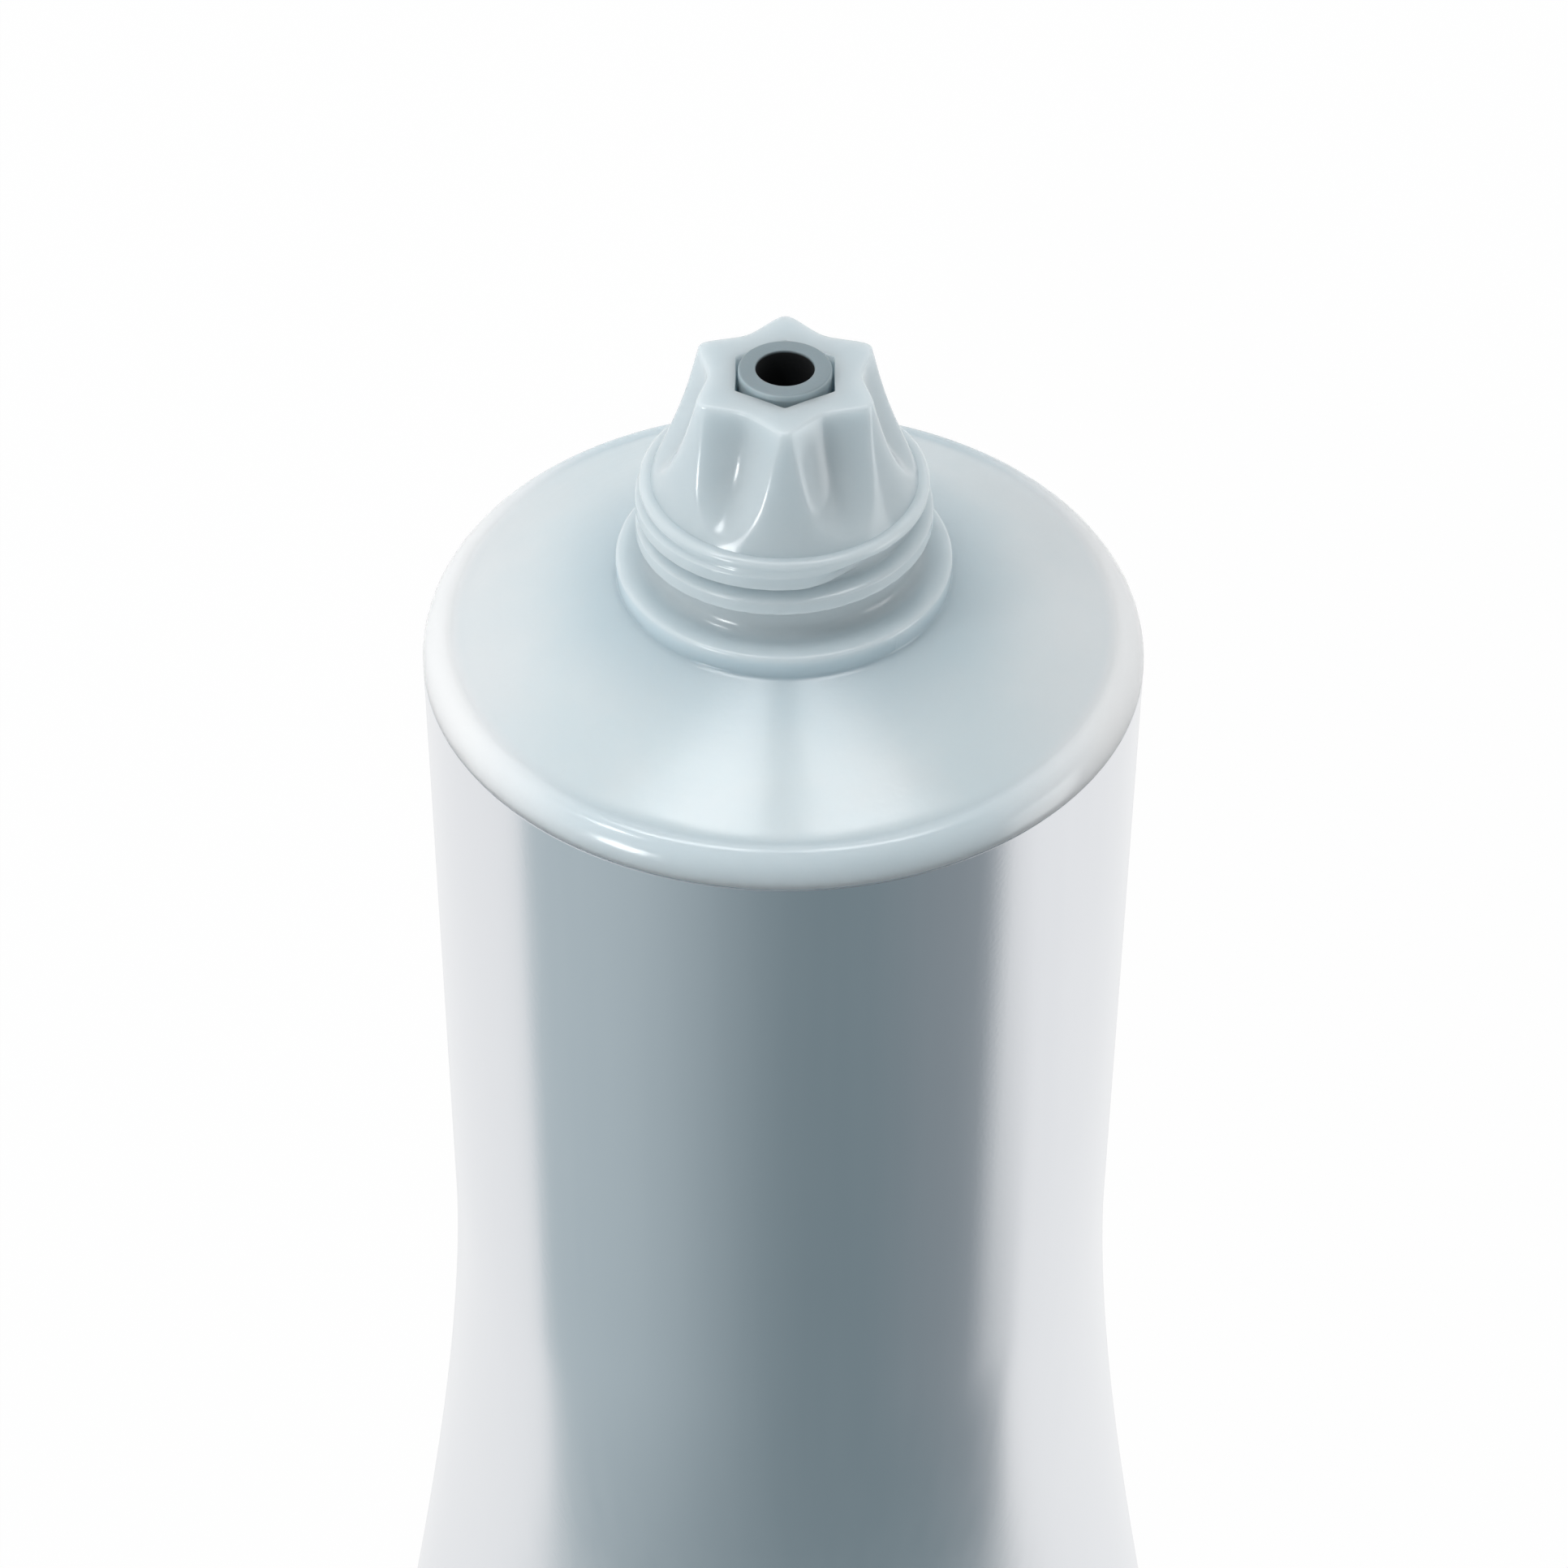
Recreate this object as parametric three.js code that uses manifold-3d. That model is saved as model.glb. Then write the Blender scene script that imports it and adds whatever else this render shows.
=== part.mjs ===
// A squeeze tube with two chambers, one sleeve inside another, and a star-fluted nozzle
// around a second, inner nozzle. The tube lies on its side and its tail is pressed flat.
import * as THREE from 'three';
import { mergeVertices } from 'three/addons/utils/BufferGeometryUtils.js';
import Module from 'manifold-3d';

const wasm = await Module();
wasm.setup();

// Driving dimensions in millimetres. Heights run along the tube's axis, nozzle upwards,
// from the joint where the outer head meets the outer sleeve.

// Outer sleeve
const sleeveRadius = 19;
const sleeveWall = 0.5;
const sleeveLength = 140;
const sealLength = 8;
const roundLength = 40; // the stretch below the head that keeps its round section
const pressPower = 1.6; // above 1 the full tube falls away slowly and then faster

// Inner sleeve
const innerSleeveRadius = 12.5;
const innerSleeveWall = 0.35;
const innerSealHalfThickness = 0.4;
const sealInset = 1; // the inner sleeve's tail stops this far inside the seal

// Outer head: shoulder, bead and skirt
const shoulderFootRadius = 17.4;
const shoulderFootHeight = 1.78;
const grooveDepth = 0.12;
const grooveWidth = 0.3;
const shoulderWall = 1.1;
const skirtLength = 4;
const skirtWall = 1.1;

// Outer head: flange, neck and thread
const flangeRadius = 8.74;
const flangeBottom = 5.09;
const flangeTop = 6.32;
const flangeEdge = 0.22;
const neckRadius = 6.9;
const neckFillet = 0.75;
const neckWall = 1.2;
const collarRadius = 7.45;
const collarDepth = 0.5; // straight part of the collar above the thread
const collarSlope = 0.5;
const threadRadius = 7.67;
const threadPitch = 1.58;
const threadTurns = 1.5;
const threadCrest = 0.72;
const threadFlank = 0.26;
const threadTopHeight = 10.4;
const threadTopAngle = 125; // degrees round the axis, where the thread runs out at the top
const threadRunOut = 30; // degrees over which each end of the thread sinks away

// Outer head: star-fluted nozzle
const fluteCount = 6;
const ledgeHeight = 11.32;
const nozzleFootRadius = 6.78;
const rimHeight = 17.7;
const rimRadius = 5.05;
const rimEdge = 0.2;
const bodyFlare = 1.6; // above 1 the nozzle's body flares like a bell
const ribCorner = 0.38; // how far a rib's sharp corner would stand out of the body at the rim
const ribSpread = 1.7; // and how much further it would at the foot, which widens the ribs
const ribRounding = 0.42;
const fluteDepth = 1.31;
const fluteFootLift = 0.28; // above the ledge, where a flute has run out
const fluteFootPower = 6; // the higher, the more suddenly a flute's floor rises at its foot
const fluteRounding = 0.12;

// Outer head: star opening
const openingTipRadius = 3.4;
const openingFluteRadius = 2.45;
const openingTipRounding = 0.35;
const openingFluteRounding = 0.3;
const openingLength = 2.6;
const channelFootRadius = 4.3;
const channelFootLift = 1.0; // above the ledge, where the neck's bore has narrowed
const boreTaper = 1.9;

// Inner head
const innerNozzleRadius = 2.37;
const innerBoreRadius = 1.49;
const innerNozzleHeight = 18.04;
const innerNozzleEdge = 0.12;
const innerFootFillet = 1.1;
const innerShoulderWall = 1;
const innerSkirtLength = 3.2;
const innerSkirtWall = 0.9;
const innerRimDepth = 0.8;
const channelHeight = 2; // between the two shoulders
const spacerCount = 6;
const spacerThickness = 0.8;
const spacerInnerRadius = 4.6;
const spacerOuterRadius = 11.2;
const spacerSink = 0.3; // how far a spacer is rooted in the shoulder it stands on

// Clearances
const jointGap = 0.05; // between a head's ledge and its sleeve's edge
const skirtGap = 0.1; // between a skirt and the sleeve round it
const sealGap = 0.05; // between the inner sleeve's tail and the outer seal
const sealSideGap = 0.4;
const spacerGap = 0.1;

// Facets
const sleeveSides = 60;
const sleeveStations = 10;
const headSides = 72;
const cavitySides = 48;
const bendDivisions = 3;
const cornerDivisions = 4;
const threadSteps = 54;
const footStations = 5; // rings over the foot of the flutes, closer together lower down
const footStretch = 2;
const nozzleStations = 5;
const channelStations = 4;
const crestMargin = THREE.MathUtils.degToRad(3); // keeps the crest's edge off rib and flute

// Sizes that follow from those above
const ribToFlute = Math.PI / fluteCount;
const sealStart = sleeveLength - sealLength;
const sealHalfThickness = innerSealHalfThickness + sealGap + sleeveWall;
const shoulderSlope = (flangeBottom - shoulderFootHeight) / (shoulderFootRadius - flangeRadius);
const slopeFactor = Math.hypot(1, shoulderSlope);
const skirtRadius = sleeveRadius - sleeveWall - skirtGap;
const neckBore = neckRadius - neckWall;
const innerSkirtRadius = innerSleeveRadius - innerSleeveWall - skirtGap;
const shoulderHeight = (radius) => flangeBottom + (flangeRadius - radius) * shoulderSlope;
const shoulderUnderside = (radius) => shoulderHeight(radius) - shoulderWall * slopeFactor;
const innerShoulderTop = (radius) => shoulderUnderside(radius) - channelHeight;
const innerShoulderUnderside = (radius) => innerShoulderTop(radius) - innerShoulderWall * slopeFactor;
const innerRimHeight = innerShoulderTop(innerSleeveRadius) - innerRimDepth;

const { clamp, degToRad, lerp, smoothstep } = THREE.MathUtils;

// Closed mesh through a row of rings that hold as many points each, capped at both ends.
function loft(rings) {
  const count = rings[0].length;
  const corners = rings.flat();
  const firstCentre = corners.length;
  const lastCentre = firstCentre + 1;
  const centreOf = (ring) => ring.reduce((sum, point) => sum.add(point), new THREE.Vector3())
    .divideScalar(count);
  corners.push(centreOf(rings[0]), centreOf(rings[rings.length - 1]));
  const index = [];
  for (let i = 0; i < count; i++) {
    const next = (i + 1) % count;
    const last = (rings.length - 1) * count;
    index.push(firstCentre, next, i);
    index.push(lastCentre, last + i, last + next);
    for (let r = 0; r < rings.length - 1; r++) {
      const here = r * count;
      const above = here + count;
      index.push(here + i, here + next, above + next);
      index.push(here + i, above + next, above + i);
    }
  }
  const geometry = new THREE.BufferGeometry().setFromPoints(corners);
  geometry.setIndex(index);
  return geometry;
}

// Solid of revolution about the tube's axis from points of radius and height.
function turned(points, sides) {
  const geometry = new THREE.LatheGeometry(points, sides);
  geometry.rotateX(Math.PI / 2);
  return geometry;
}

function toSolid(geometry) {
  const bare = geometry.clone();
  bare.deleteAttribute('normal');
  bare.deleteAttribute('uv');
  const merged = mergeVertices(bare, 1e-5);
  const kept = [];
  const source = merged.index.array;
  for (let i = 0; i < source.length; i += 3) {
    const [a, b, c] = source.slice(i, i + 3);
    if (a !== b && b !== c && c !== a) kept.push(a, b, c);
  }
  return new wasm.Manifold(new wasm.Mesh({
    numProp: 3,
    vertProperties: merged.attributes.position.array,
    triVerts: new Uint32Array(kept),
  }));
}

function toGeometry(solid) {
  const mesh = solid.getMesh();
  const geometry = new THREE.BufferGeometry();
  geometry.setAttribute('position', new THREE.BufferAttribute(mesh.vertProperties, 3));
  geometry.setIndex(new THREE.BufferAttribute(mesh.triVerts, 1));
  geometry.computeVertexNormals();
  return geometry;
}

// Sleeves. Pressing a round sleeve flat keeps its girth, so its sections widen as they sink.

function ellipseOfGirth(girth, halfHeight) {
  let low = halfHeight;
  let high = girth / 4;
  for (let step = 0; step < 30; step++) {
    const middle = (low + high) / 2;
    const ratio = ((middle - halfHeight) / (middle + halfHeight)) ** 2;
    const length = Math.PI * (middle + halfHeight) * (1 + 3 * ratio / (10 + Math.sqrt(4 - 3 * ratio)));
    if (length < girth) low = middle;
    else high = middle;
  }
  return new THREE.EllipseCurve(0, 0, (low + high) / 2, halfHeight);
}

function flatBar(halfWidth, halfHeight) {
  const straight = halfWidth - halfHeight;
  const bar = new THREE.Path();
  bar.absarc(straight, 0, halfHeight, 0, Math.PI / 2);
  bar.absarc(-straight, 0, halfHeight, Math.PI / 2, Math.PI * 3 / 2);
  bar.absarc(straight, 0, halfHeight, Math.PI * 3 / 2, Math.PI * 2);
  return bar;
}

const barHalfWidth = (girth, halfHeight) => halfHeight + (girth - 2 * Math.PI * halfHeight) / 4;

// 0 where the tube is round, 1 where it is pressed into the seal.
const pressedAt = (depth) => clamp((depth - roundLength) / (sealStart - roundLength), 0, 1) ** pressPower;

// The underside stays level as the tube flattens, so the middle of each section sinks.
const sinkAt = (depth) => lerp(0, sleeveRadius - sealHalfThickness, pressedAt(depth));

function placeSection(outline, depth) {
  return outline.map((point) => new THREE.Vector3(point.x, point.y - sinkAt(depth), -depth));
}

function sleeveRing(radius, sealHalf, depth) {
  const pressed = pressedAt(depth);
  const girth = 2 * Math.PI * radius;
  const halfHeight = lerp(radius, sealHalf, pressed);
  const bar = flatBar(barHalfWidth(girth, halfHeight), halfHeight).getSpacedPoints(sleeveSides);
  const oval = ellipseOfGirth(girth, halfHeight).getSpacedPoints(sleeveSides);
  const squared = smoothstep(pressed, 0.8, 1);
  const outline = oval.slice(0, sleeveSides).map((point, i) => point.clone().lerp(bar[i], squared));
  return placeSection(outline, depth);
}

function sleeveRings(radius, sealHalf, top, end) {
  const stations = [top];
  for (let i = 0; i <= sleeveStations; i++) {
    stations.push(lerp(roundLength, sealStart, i / sleeveStations));
  }
  if (end > sealStart) stations.push(end);
  return stations.map((depth) => sleeveRing(radius, sealHalf, depth));
}

function outerSleeve() {
  const outside = sleeveRings(sleeveRadius, sealHalfThickness, jointGap, sleeveLength);
  const slitHalf = innerSealHalfThickness + sealGap;
  const chamber = sleeveRings(sleeveRadius - sleeveWall, slitHalf, jointGap, sealStart);
  const slitEnd = sleeveLength - sealInset + sealGap;
  const slitWidth = barHalfWidth(2 * Math.PI * innerSleeveRadius, innerSealHalfThickness) + sealSideGap;
  const slit = flatBar(slitWidth, slitHalf).getSpacedPoints(sleeveSides).slice(0, sleeveSides);
  // The weld closes the chamber to a slit that grips the inner sleeve's tail.
  const weldDepth = sealStart + sealGap;
  chamber.push(placeSection(slit, weldDepth), placeSection(slit, slitEnd));
  return loft([...chamber.reverse(), ...outside].reverse());
}

function innerSleeve() {
  const top = jointGap - innerRimHeight;
  const outside = sleeveRings(innerSleeveRadius, innerSealHalfThickness, top, sleeveLength - sealInset);
  const hollowHalf = innerSealHalfThickness - innerSleeveWall;
  const hollow = sleeveRings(innerSleeveRadius - innerSleeveWall, hollowHalf, top, sealStart);
  return loft([...hollow.reverse(), ...outside].reverse());
}

// Outer head

function headTurning() {
  const beadTop = shoulderFootHeight;
  const beadRun = sleeveRadius - shoulderFootRadius - grooveWidth;
  const outline = new THREE.Path();
  outline.moveTo(0, -skirtLength);
  outline.lineTo(skirtRadius, -skirtLength);
  outline.lineTo(skirtRadius, 0);
  outline.lineTo(sleeveRadius, 0);
  outline.absellipse(sleeveRadius - beadRun, 0, beadRun, beadTop, 0, Math.PI / 2, false);
  outline.lineTo(shoulderFootRadius + grooveWidth / 2, beadTop - grooveDepth);
  outline.lineTo(shoulderFootRadius, shoulderFootHeight);
  outline.lineTo(flangeRadius, flangeBottom);
  outline.lineTo(flangeRadius, flangeTop - flangeEdge);
  outline.lineTo(flangeRadius - flangeEdge, flangeTop);
  outline.lineTo(neckRadius + neckFillet, flangeTop);
  outline.absarc(neckRadius + neckFillet, flangeTop + neckFillet, neckFillet, -Math.PI / 2, -Math.PI, true);
  outline.lineTo(neckRadius, ledgeHeight - collarDepth - collarSlope);
  outline.lineTo(collarRadius, ledgeHeight - collarDepth);
  outline.lineTo(collarRadius, ledgeHeight);
  outline.lineTo(0, ledgeHeight);
  return turned(outline.getPoints(bendDivisions), headSides);
}

function headCavity() {
  const bore = skirtRadius - skirtWall;
  const below = skirtLength + 1; // runs past the skirt's edge
  const outline = [
    [0, -below],
    [bore, -below],
    [bore, shoulderUnderside(bore)],
    [neckBore, shoulderUnderside(neckBore)],
    [neckBore, ledgeHeight + channelFootLift - boreTaper],
    [channelFootRadius, ledgeHeight + channelFootLift],
    [0, ledgeHeight + channelFootLift],
  ];
  return turned(outline.map(([radius, height]) => new THREE.Vector2(radius, height)), cavitySides);
}

// Radius of a sharp star at an angle from a rib: a straight line runs from rib to flute.
function starLine(tip, flute, angle) {
  const across = tip * Math.sin(angle) + flute * Math.sin(ribToFlute - angle);
  return (tip * flute * Math.sin(ribToFlute)) / across;
}

// The same star with each corner rounded by the hyperbola between its two lines.
function starRadius(tip, flute, angle) {
  const here = starLine(tip, flute, angle);
  const rounding = (other, softness) => {
    const gap = Math.abs(here - other) / 2;
    return Math.hypot(gap, softness) - gap;
  };
  const overRib = starLine(tip, flute, -angle);
  const overFlute = starLine(tip, flute, 2 * ribToFlute - angle);
  return here - rounding(overRib, ribRounding) + rounding(overFlute, fluteRounding);
}

// A section of the nozzle: its round body, cut by flutes whose floor rises to meet the body
// just above the ledge.
function nozzleRing(height, inset = 0) {
  const nozzleLength = rimHeight - ledgeHeight;
  const fallen = clamp((rimHeight - height) / nozzleLength, 0, 1);
  const run = clamp(fallen / (1 - fluteFootLift / nozzleLength), 0, 1);
  const body = lerp(rimRadius, nozzleFootRadius, fallen ** bodyFlare);
  const floor = body - fluteDepth * (1 - run ** fluteFootPower);
  const tip = body + ribCorner + ribSpread * fallen ** 2;

  // Halving finds the edge of the rib's crest, where the flute's side leaves the body.
  let crest = 0;
  let outside = ribToFlute;
  for (let step = 0; step < 20; step++) {
    const middle = (crest + outside) / 2;
    if (starRadius(tip, floor, middle) > body) crest = middle;
    else outside = middle;
  }
  crest = clamp(crest, crestMargin, ribToFlute - crestMargin);
  const side = [0, crest / 2, crest, lerp(crest, ribToFlute, 0.6), lerp(crest, ribToFlute, 0.85)];
  const otherSide = side.slice(1).reverse();

  const ring = [];
  for (let i = 0; i < fluteCount; i++) {
    const rib = Math.PI / 2 + 2 * i * ribToFlute;
    const place = (angle, fromRib) => {
      const radius = Math.min(starRadius(tip, floor, fromRib), body) - inset;
      ring.push(new THREE.Vector3(radius * Math.cos(angle), radius * Math.sin(angle), height));
    };
    side.forEach((fromRib) => place(rib + fromRib, fromRib));
    place(rib + ribToFlute, ribToFlute);
    otherSide.forEach((fromRib) => place(rib + 2 * ribToFlute - fromRib, fromRib));
  }
  return ring;
}

function nozzleStar() {
  const sunk = collarDepth / 2; // the foot is rooted in the collar
  const fluteFoot = ledgeHeight + fluteFootLift;
  const heights = [ledgeHeight - sunk, ledgeHeight];
  for (let i = 0; i <= footStations; i++) {
    heights.push(fluteFoot + footStretch * (i / footStations) ** 2);
  }
  for (let i = 1; i <= nozzleStations; i++) {
    heights.push(lerp(fluteFoot + footStretch, rimHeight - rimEdge, i / nozzleStations));
  }
  const rings = heights.map((height) => nozzleRing(height));
  rings.push(nozzleRing(rimHeight, rimEdge));
  return loft(rings);
}

// Section of the opening, a star with rounded corners; roundness 1 turns it into a circle.
function openingRing(tipRadius, fluteRadius, height, roundness = 0) {
  const corner = (i) => {
    const angle = Math.PI / 2 + i * ribToFlute;
    const radius = i % 2 ? fluteRadius : tipRadius;
    return new THREE.Vector2(radius * Math.cos(angle), radius * Math.sin(angle));
  };
  const outline = [];
  for (let i = 0; i < 2 * fluteCount; i++) {
    const here = corner(i);
    const cut = i % 2 ? openingFluteRounding : openingTipRounding;
    const towards = (other) => here.clone().add(other.sub(here).setLength(cut));
    const before = towards(corner(i - 1 + 2 * fluteCount));
    const after = towards(corner(i + 1));
    outline.push(...new THREE.QuadraticBezierCurve(before, here, after).getPoints(cornerDivisions));
  }
  return outline.map((point) => {
    const rounded = point.clone().setLength(tipRadius);
    const place = point.lerp(rounded, roundness);
    return new THREE.Vector3(place.x, place.y, height);
  });
}

function starChannel() {
  const start = ledgeHeight + channelFootLift - boreTaper / 10;
  const settled = rimHeight - openingLength;
  const rings = [];
  for (let i = 0; i <= channelStations; i++) {
    const along = i / channelStations;
    const tip = lerp(channelFootRadius, openingTipRadius, along);
    const flute = lerp(channelFootRadius, openingFluteRadius, along);
    rings.push(openingRing(tip, flute, lerp(start, settled, along), 1 - along));
  }
  rings.push(openingRing(openingTipRadius, openingFluteRadius, rimHeight + rimEdge));
  return loft(rings);
}

function threadRidge() {
  const rootRadius = neckRadius - neckWall / 4;
  const turn = 360 * threadTurns;
  const rings = [];
  for (let i = 0; i <= threadSteps; i++) {
    const below = (turn * i) / threadSteps;
    const grown = smoothstep(Math.min(below, turn - below), 0, threadRunOut);
    const crest = lerp(rootRadius + (neckRadius - rootRadius) / 2, threadRadius, grown);
    const halfCrest = threadCrest / 2;
    const halfRoot = halfCrest + threadFlank;
    const middle = threadTopHeight - (threadPitch * below) / 360;
    const angle = degToRad(threadTopAngle - below);
    const section = [
      [rootRadius, middle - halfRoot],
      [crest, middle - halfCrest],
      [crest, middle + halfCrest],
      [rootRadius, middle + halfRoot],
    ];
    rings.push(section.map(([radius, height]) =>
      new THREE.Vector3(radius * Math.cos(angle), radius * Math.sin(angle), height)));
  }
  return loft(rings);
}

function outerHead() {
  const outside = toSolid(headTurning()).add(toSolid(nozzleStar())).add(toSolid(threadRidge()));
  const inside = toSolid(headCavity()).add(toSolid(starChannel()));
  return toGeometry(outside.subtract(inside));
}

// Inner head

function innerTurning() {
  const fillet = innerFootFillet;
  const footRadius = innerNozzleRadius + fillet;
  const skirtBore = innerSkirtRadius - innerSkirtWall;
  const skirtFoot = innerRimHeight - innerSkirtLength;
  const outline = new THREE.Path();
  outline.moveTo(innerBoreRadius, innerShoulderUnderside(innerBoreRadius));
  outline.lineTo(skirtBore, innerShoulderUnderside(skirtBore));
  outline.lineTo(skirtBore, skirtFoot);
  outline.lineTo(innerSkirtRadius, skirtFoot);
  outline.lineTo(innerSkirtRadius, innerRimHeight);
  outline.lineTo(innerSleeveRadius, innerRimHeight);
  outline.lineTo(innerSleeveRadius, innerShoulderTop(innerSleeveRadius));
  outline.lineTo(footRadius, innerShoulderTop(footRadius));
  outline.quadraticCurveTo(
    innerNozzleRadius, innerShoulderTop(innerNozzleRadius),
    innerNozzleRadius, innerShoulderTop(innerNozzleRadius) + fillet,
  );
  outline.lineTo(innerNozzleRadius, innerNozzleHeight - innerNozzleEdge);
  outline.lineTo(innerNozzleRadius - innerNozzleEdge, innerNozzleHeight);
  outline.lineTo(innerBoreRadius, innerNozzleHeight);
  outline.lineTo(innerBoreRadius, innerShoulderUnderside(innerBoreRadius));
  return turned(outline.getPoints(bendDivisions), cavitySides);
}

// A fin on the inner shoulder that holds the outer shoulder off it.
function spacer(angle) {
  const outline = new THREE.Shape([
    [spacerInnerRadius, innerShoulderTop(spacerInnerRadius) - spacerSink],
    [spacerOuterRadius, innerShoulderTop(spacerOuterRadius) - spacerSink],
    [spacerOuterRadius, shoulderUnderside(spacerOuterRadius) - spacerGap],
    [neckBore, shoulderUnderside(neckBore) - spacerGap],
    [spacerInnerRadius, shoulderUnderside(neckBore) - spacerGap],
  ].map(([radius, height]) => new THREE.Vector2(radius, height)));
  const geometry = new THREE.ExtrudeGeometry(outline, { depth: spacerThickness, bevelEnabled: false });
  geometry.translate(0, 0, -spacerThickness / 2);
  geometry.rotateX(Math.PI / 2);
  geometry.rotateZ(angle);
  return geometry;
}

function innerHead() {
  let solid = toSolid(innerTurning());
  for (let i = 0; i < spacerCount; i++) {
    solid = solid.add(toSolid(spacer((i * 2 * Math.PI) / spacerCount)));
  }
  return toGeometry(solid);
}

// Assembly

const finishes = {
  silverLaminate: { color: 0xc6c8cd, roughness: 0.3, metalness: 0.85 },
  milkyPlastic: { color: 0xdbe5eb, roughness: 0.32, metalness: 0 },
  greyPlastic: { color: 0x87969d, roughness: 0.42, metalness: 0 },
  palePlastic: { color: 0xe9ebea, roughness: 0.5, metalness: 0 },
};

function piece(name, geometry, finish) {
  const mesh = new THREE.Mesh(geometry, new THREE.MeshStandardMaterial(finishes[finish]));
  mesh.name = name;
  return mesh;
}

const tube = new THREE.Group();
tube.add(
  piece('outer_sleeve', outerSleeve(), 'silverLaminate'),
  piece('outer_head', outerHead(), 'milkyPlastic'),
  piece('inner_head', innerHead(), 'greyPlastic'),
  piece('inner_sleeve', innerSleeve(), 'palePlastic'),
);

// The tube lies on its side, nozzle towards -Y, centred along its length over the origin.
tube.rotation.x = Math.PI / 2;
tube.position.set(0, (innerNozzleHeight - sleeveLength) / 2, sleeveRadius);

export default tube;
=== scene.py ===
import math

import bpy
import numpy as np
from mathutils import Matrix, Vector


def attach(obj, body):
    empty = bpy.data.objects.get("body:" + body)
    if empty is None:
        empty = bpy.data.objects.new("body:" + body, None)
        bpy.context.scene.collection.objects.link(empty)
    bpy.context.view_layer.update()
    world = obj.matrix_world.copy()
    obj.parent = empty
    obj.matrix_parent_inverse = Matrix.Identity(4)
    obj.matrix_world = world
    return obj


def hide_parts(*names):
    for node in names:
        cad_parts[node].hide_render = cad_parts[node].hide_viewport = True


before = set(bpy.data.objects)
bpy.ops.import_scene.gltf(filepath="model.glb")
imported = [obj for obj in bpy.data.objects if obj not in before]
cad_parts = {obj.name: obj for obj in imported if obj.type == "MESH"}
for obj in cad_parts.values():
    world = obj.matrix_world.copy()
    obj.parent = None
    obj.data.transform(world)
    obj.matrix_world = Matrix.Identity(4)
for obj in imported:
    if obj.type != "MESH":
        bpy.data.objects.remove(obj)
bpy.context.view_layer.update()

# Lengths are in millimetres along the tube: height runs up its axis from the joint of the
# outer head and the outer sleeve to the nozzle. The tube lies with its nozzle towards -Y.
tube = {
    "sleeveRadius": 19.0,
    "sleeveLength": 140.0,
    "nozzleHeight": 18.04,
    "sharpDegrees": 40,
    "millimetre": 0.001,
}
axisShift = (tube["nozzleHeight"] - tube["sleeveLength"]) / 2


def toRow(x, y, height):
    # The axis turns down to -Y, the tube's y turns up to +Z, and millimetres become metres.
    placed = np.stack([x, axisShift - height, y + tube["sleeveRadius"]], axis=-1)
    return placed * tube["millimetre"]


# Meshes from grids of points

def faceOutwards(points, quads):
    # The volume under all quads, by the triple product of their corners, tells inside from out.
    a, b, c, d = (points[quads[:, k]] for k in range(4))
    volume = np.sum(a * np.cross(b, c)) + np.sum(a * np.cross(c, d))
    return quads if volume > 0 else quads[:, ::-1]


def ringQuads(rows, columns, bands):
    # Joins each row of points to the next one, round all its columns. With as many bands as
    # rows, the last band leads back to the first row.
    row = np.arange(bands)[:, None]
    column = np.arange(columns)[None, :]
    nextRow = (row + 1) % rows
    nextColumn = (column + 1) % columns
    corners = [row * columns + column, row * columns + nextColumn,
               nextRow * columns + nextColumn, nextRow * columns + column]
    quads = np.stack([np.broadcast_to(corner, (bands, columns)) for corner in corners], axis=-1)
    return quads.reshape(-1, 4)


def closedGrid(name, points):
    # Rows by columns of points, where the rows close on themselves and the columns do too.
    rows, columns = points.shape[:2]
    return meshPiece(name, points, ringQuads(rows, columns, rows))


def cappedGrid(name, points):
    # As closedGrid, but the first and last rows are shrunk to nearly a point and closed there.
    rows, columns = points.shape[:2]
    step = np.arange(columns // 2 - 1)
    lid = np.stack([step, columns - 1 - step, columns - 2 - step, step + 1], axis=-1)
    lastRow = (rows - 1) * columns
    quads = [ringQuads(rows, columns, rows - 1), lid, lid[:, ::-1] + lastRow]
    return meshPiece(name, points, np.concatenate(quads))


def meshPiece(name, points, quads):
    points = points.reshape(-1, 3)
    quads = faceOutwards(points - points.mean(axis=0), quads)
    mesh = bpy.data.meshes.new(name)
    mesh.vertices.add(len(points))
    mesh.vertices.foreach_set("co", points.reshape(-1).astype(np.float32))
    mesh.loops.add(quads.size)
    mesh.loops.foreach_set("vertex_index", quads.reshape(-1).astype(np.int32))
    mesh.polygons.add(len(quads))
    mesh.polygons.foreach_set("loop_start", np.arange(0, quads.size, 4, dtype=np.int32))
    mesh.polygons.foreach_set("loop_total", np.full(len(quads), 4, dtype=np.int32))
    mesh.update(calc_edges=True)
    mesh.shade_smooth()
    mesh.set_sharp_from_angle(angle=math.radians(tube["sharpDegrees"]))
    piece = bpy.data.objects.new(name, mesh)
    bpy.context.scene.collection.objects.link(piece)
    return piece


def smoothStep(value, low, high):
    # Rises softly from 0 at low to 1 at high: share squared times (3 - 2 share).
    share = np.clip((value - low) / (high - low), 0, 1)
    return share * share * (3 - 2 * share)


def blendTo(start, end, share):
    # The start, and a share of the way from it to the end.
    return start + (end - start) * share


def softLess(first, second, softness):
    # The smaller of two values, rounded off where they meet: half their sum, less the root of
    # half their difference squared plus the softness squared.
    return (first + second) / 2 - np.sqrt(((first - second) / 2) ** 2 + softness ** 2)


def arc(centre, radius, start, end, count):
    # Points of radius and height on an arc, angles in degrees from the outward direction.
    angle = np.radians(np.linspace(start, end, count))
    return np.stack([centre[0] + radius[0] * np.cos(angle),
                     centre[1] + radius[1] * np.sin(angle)], axis=-1)


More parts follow.
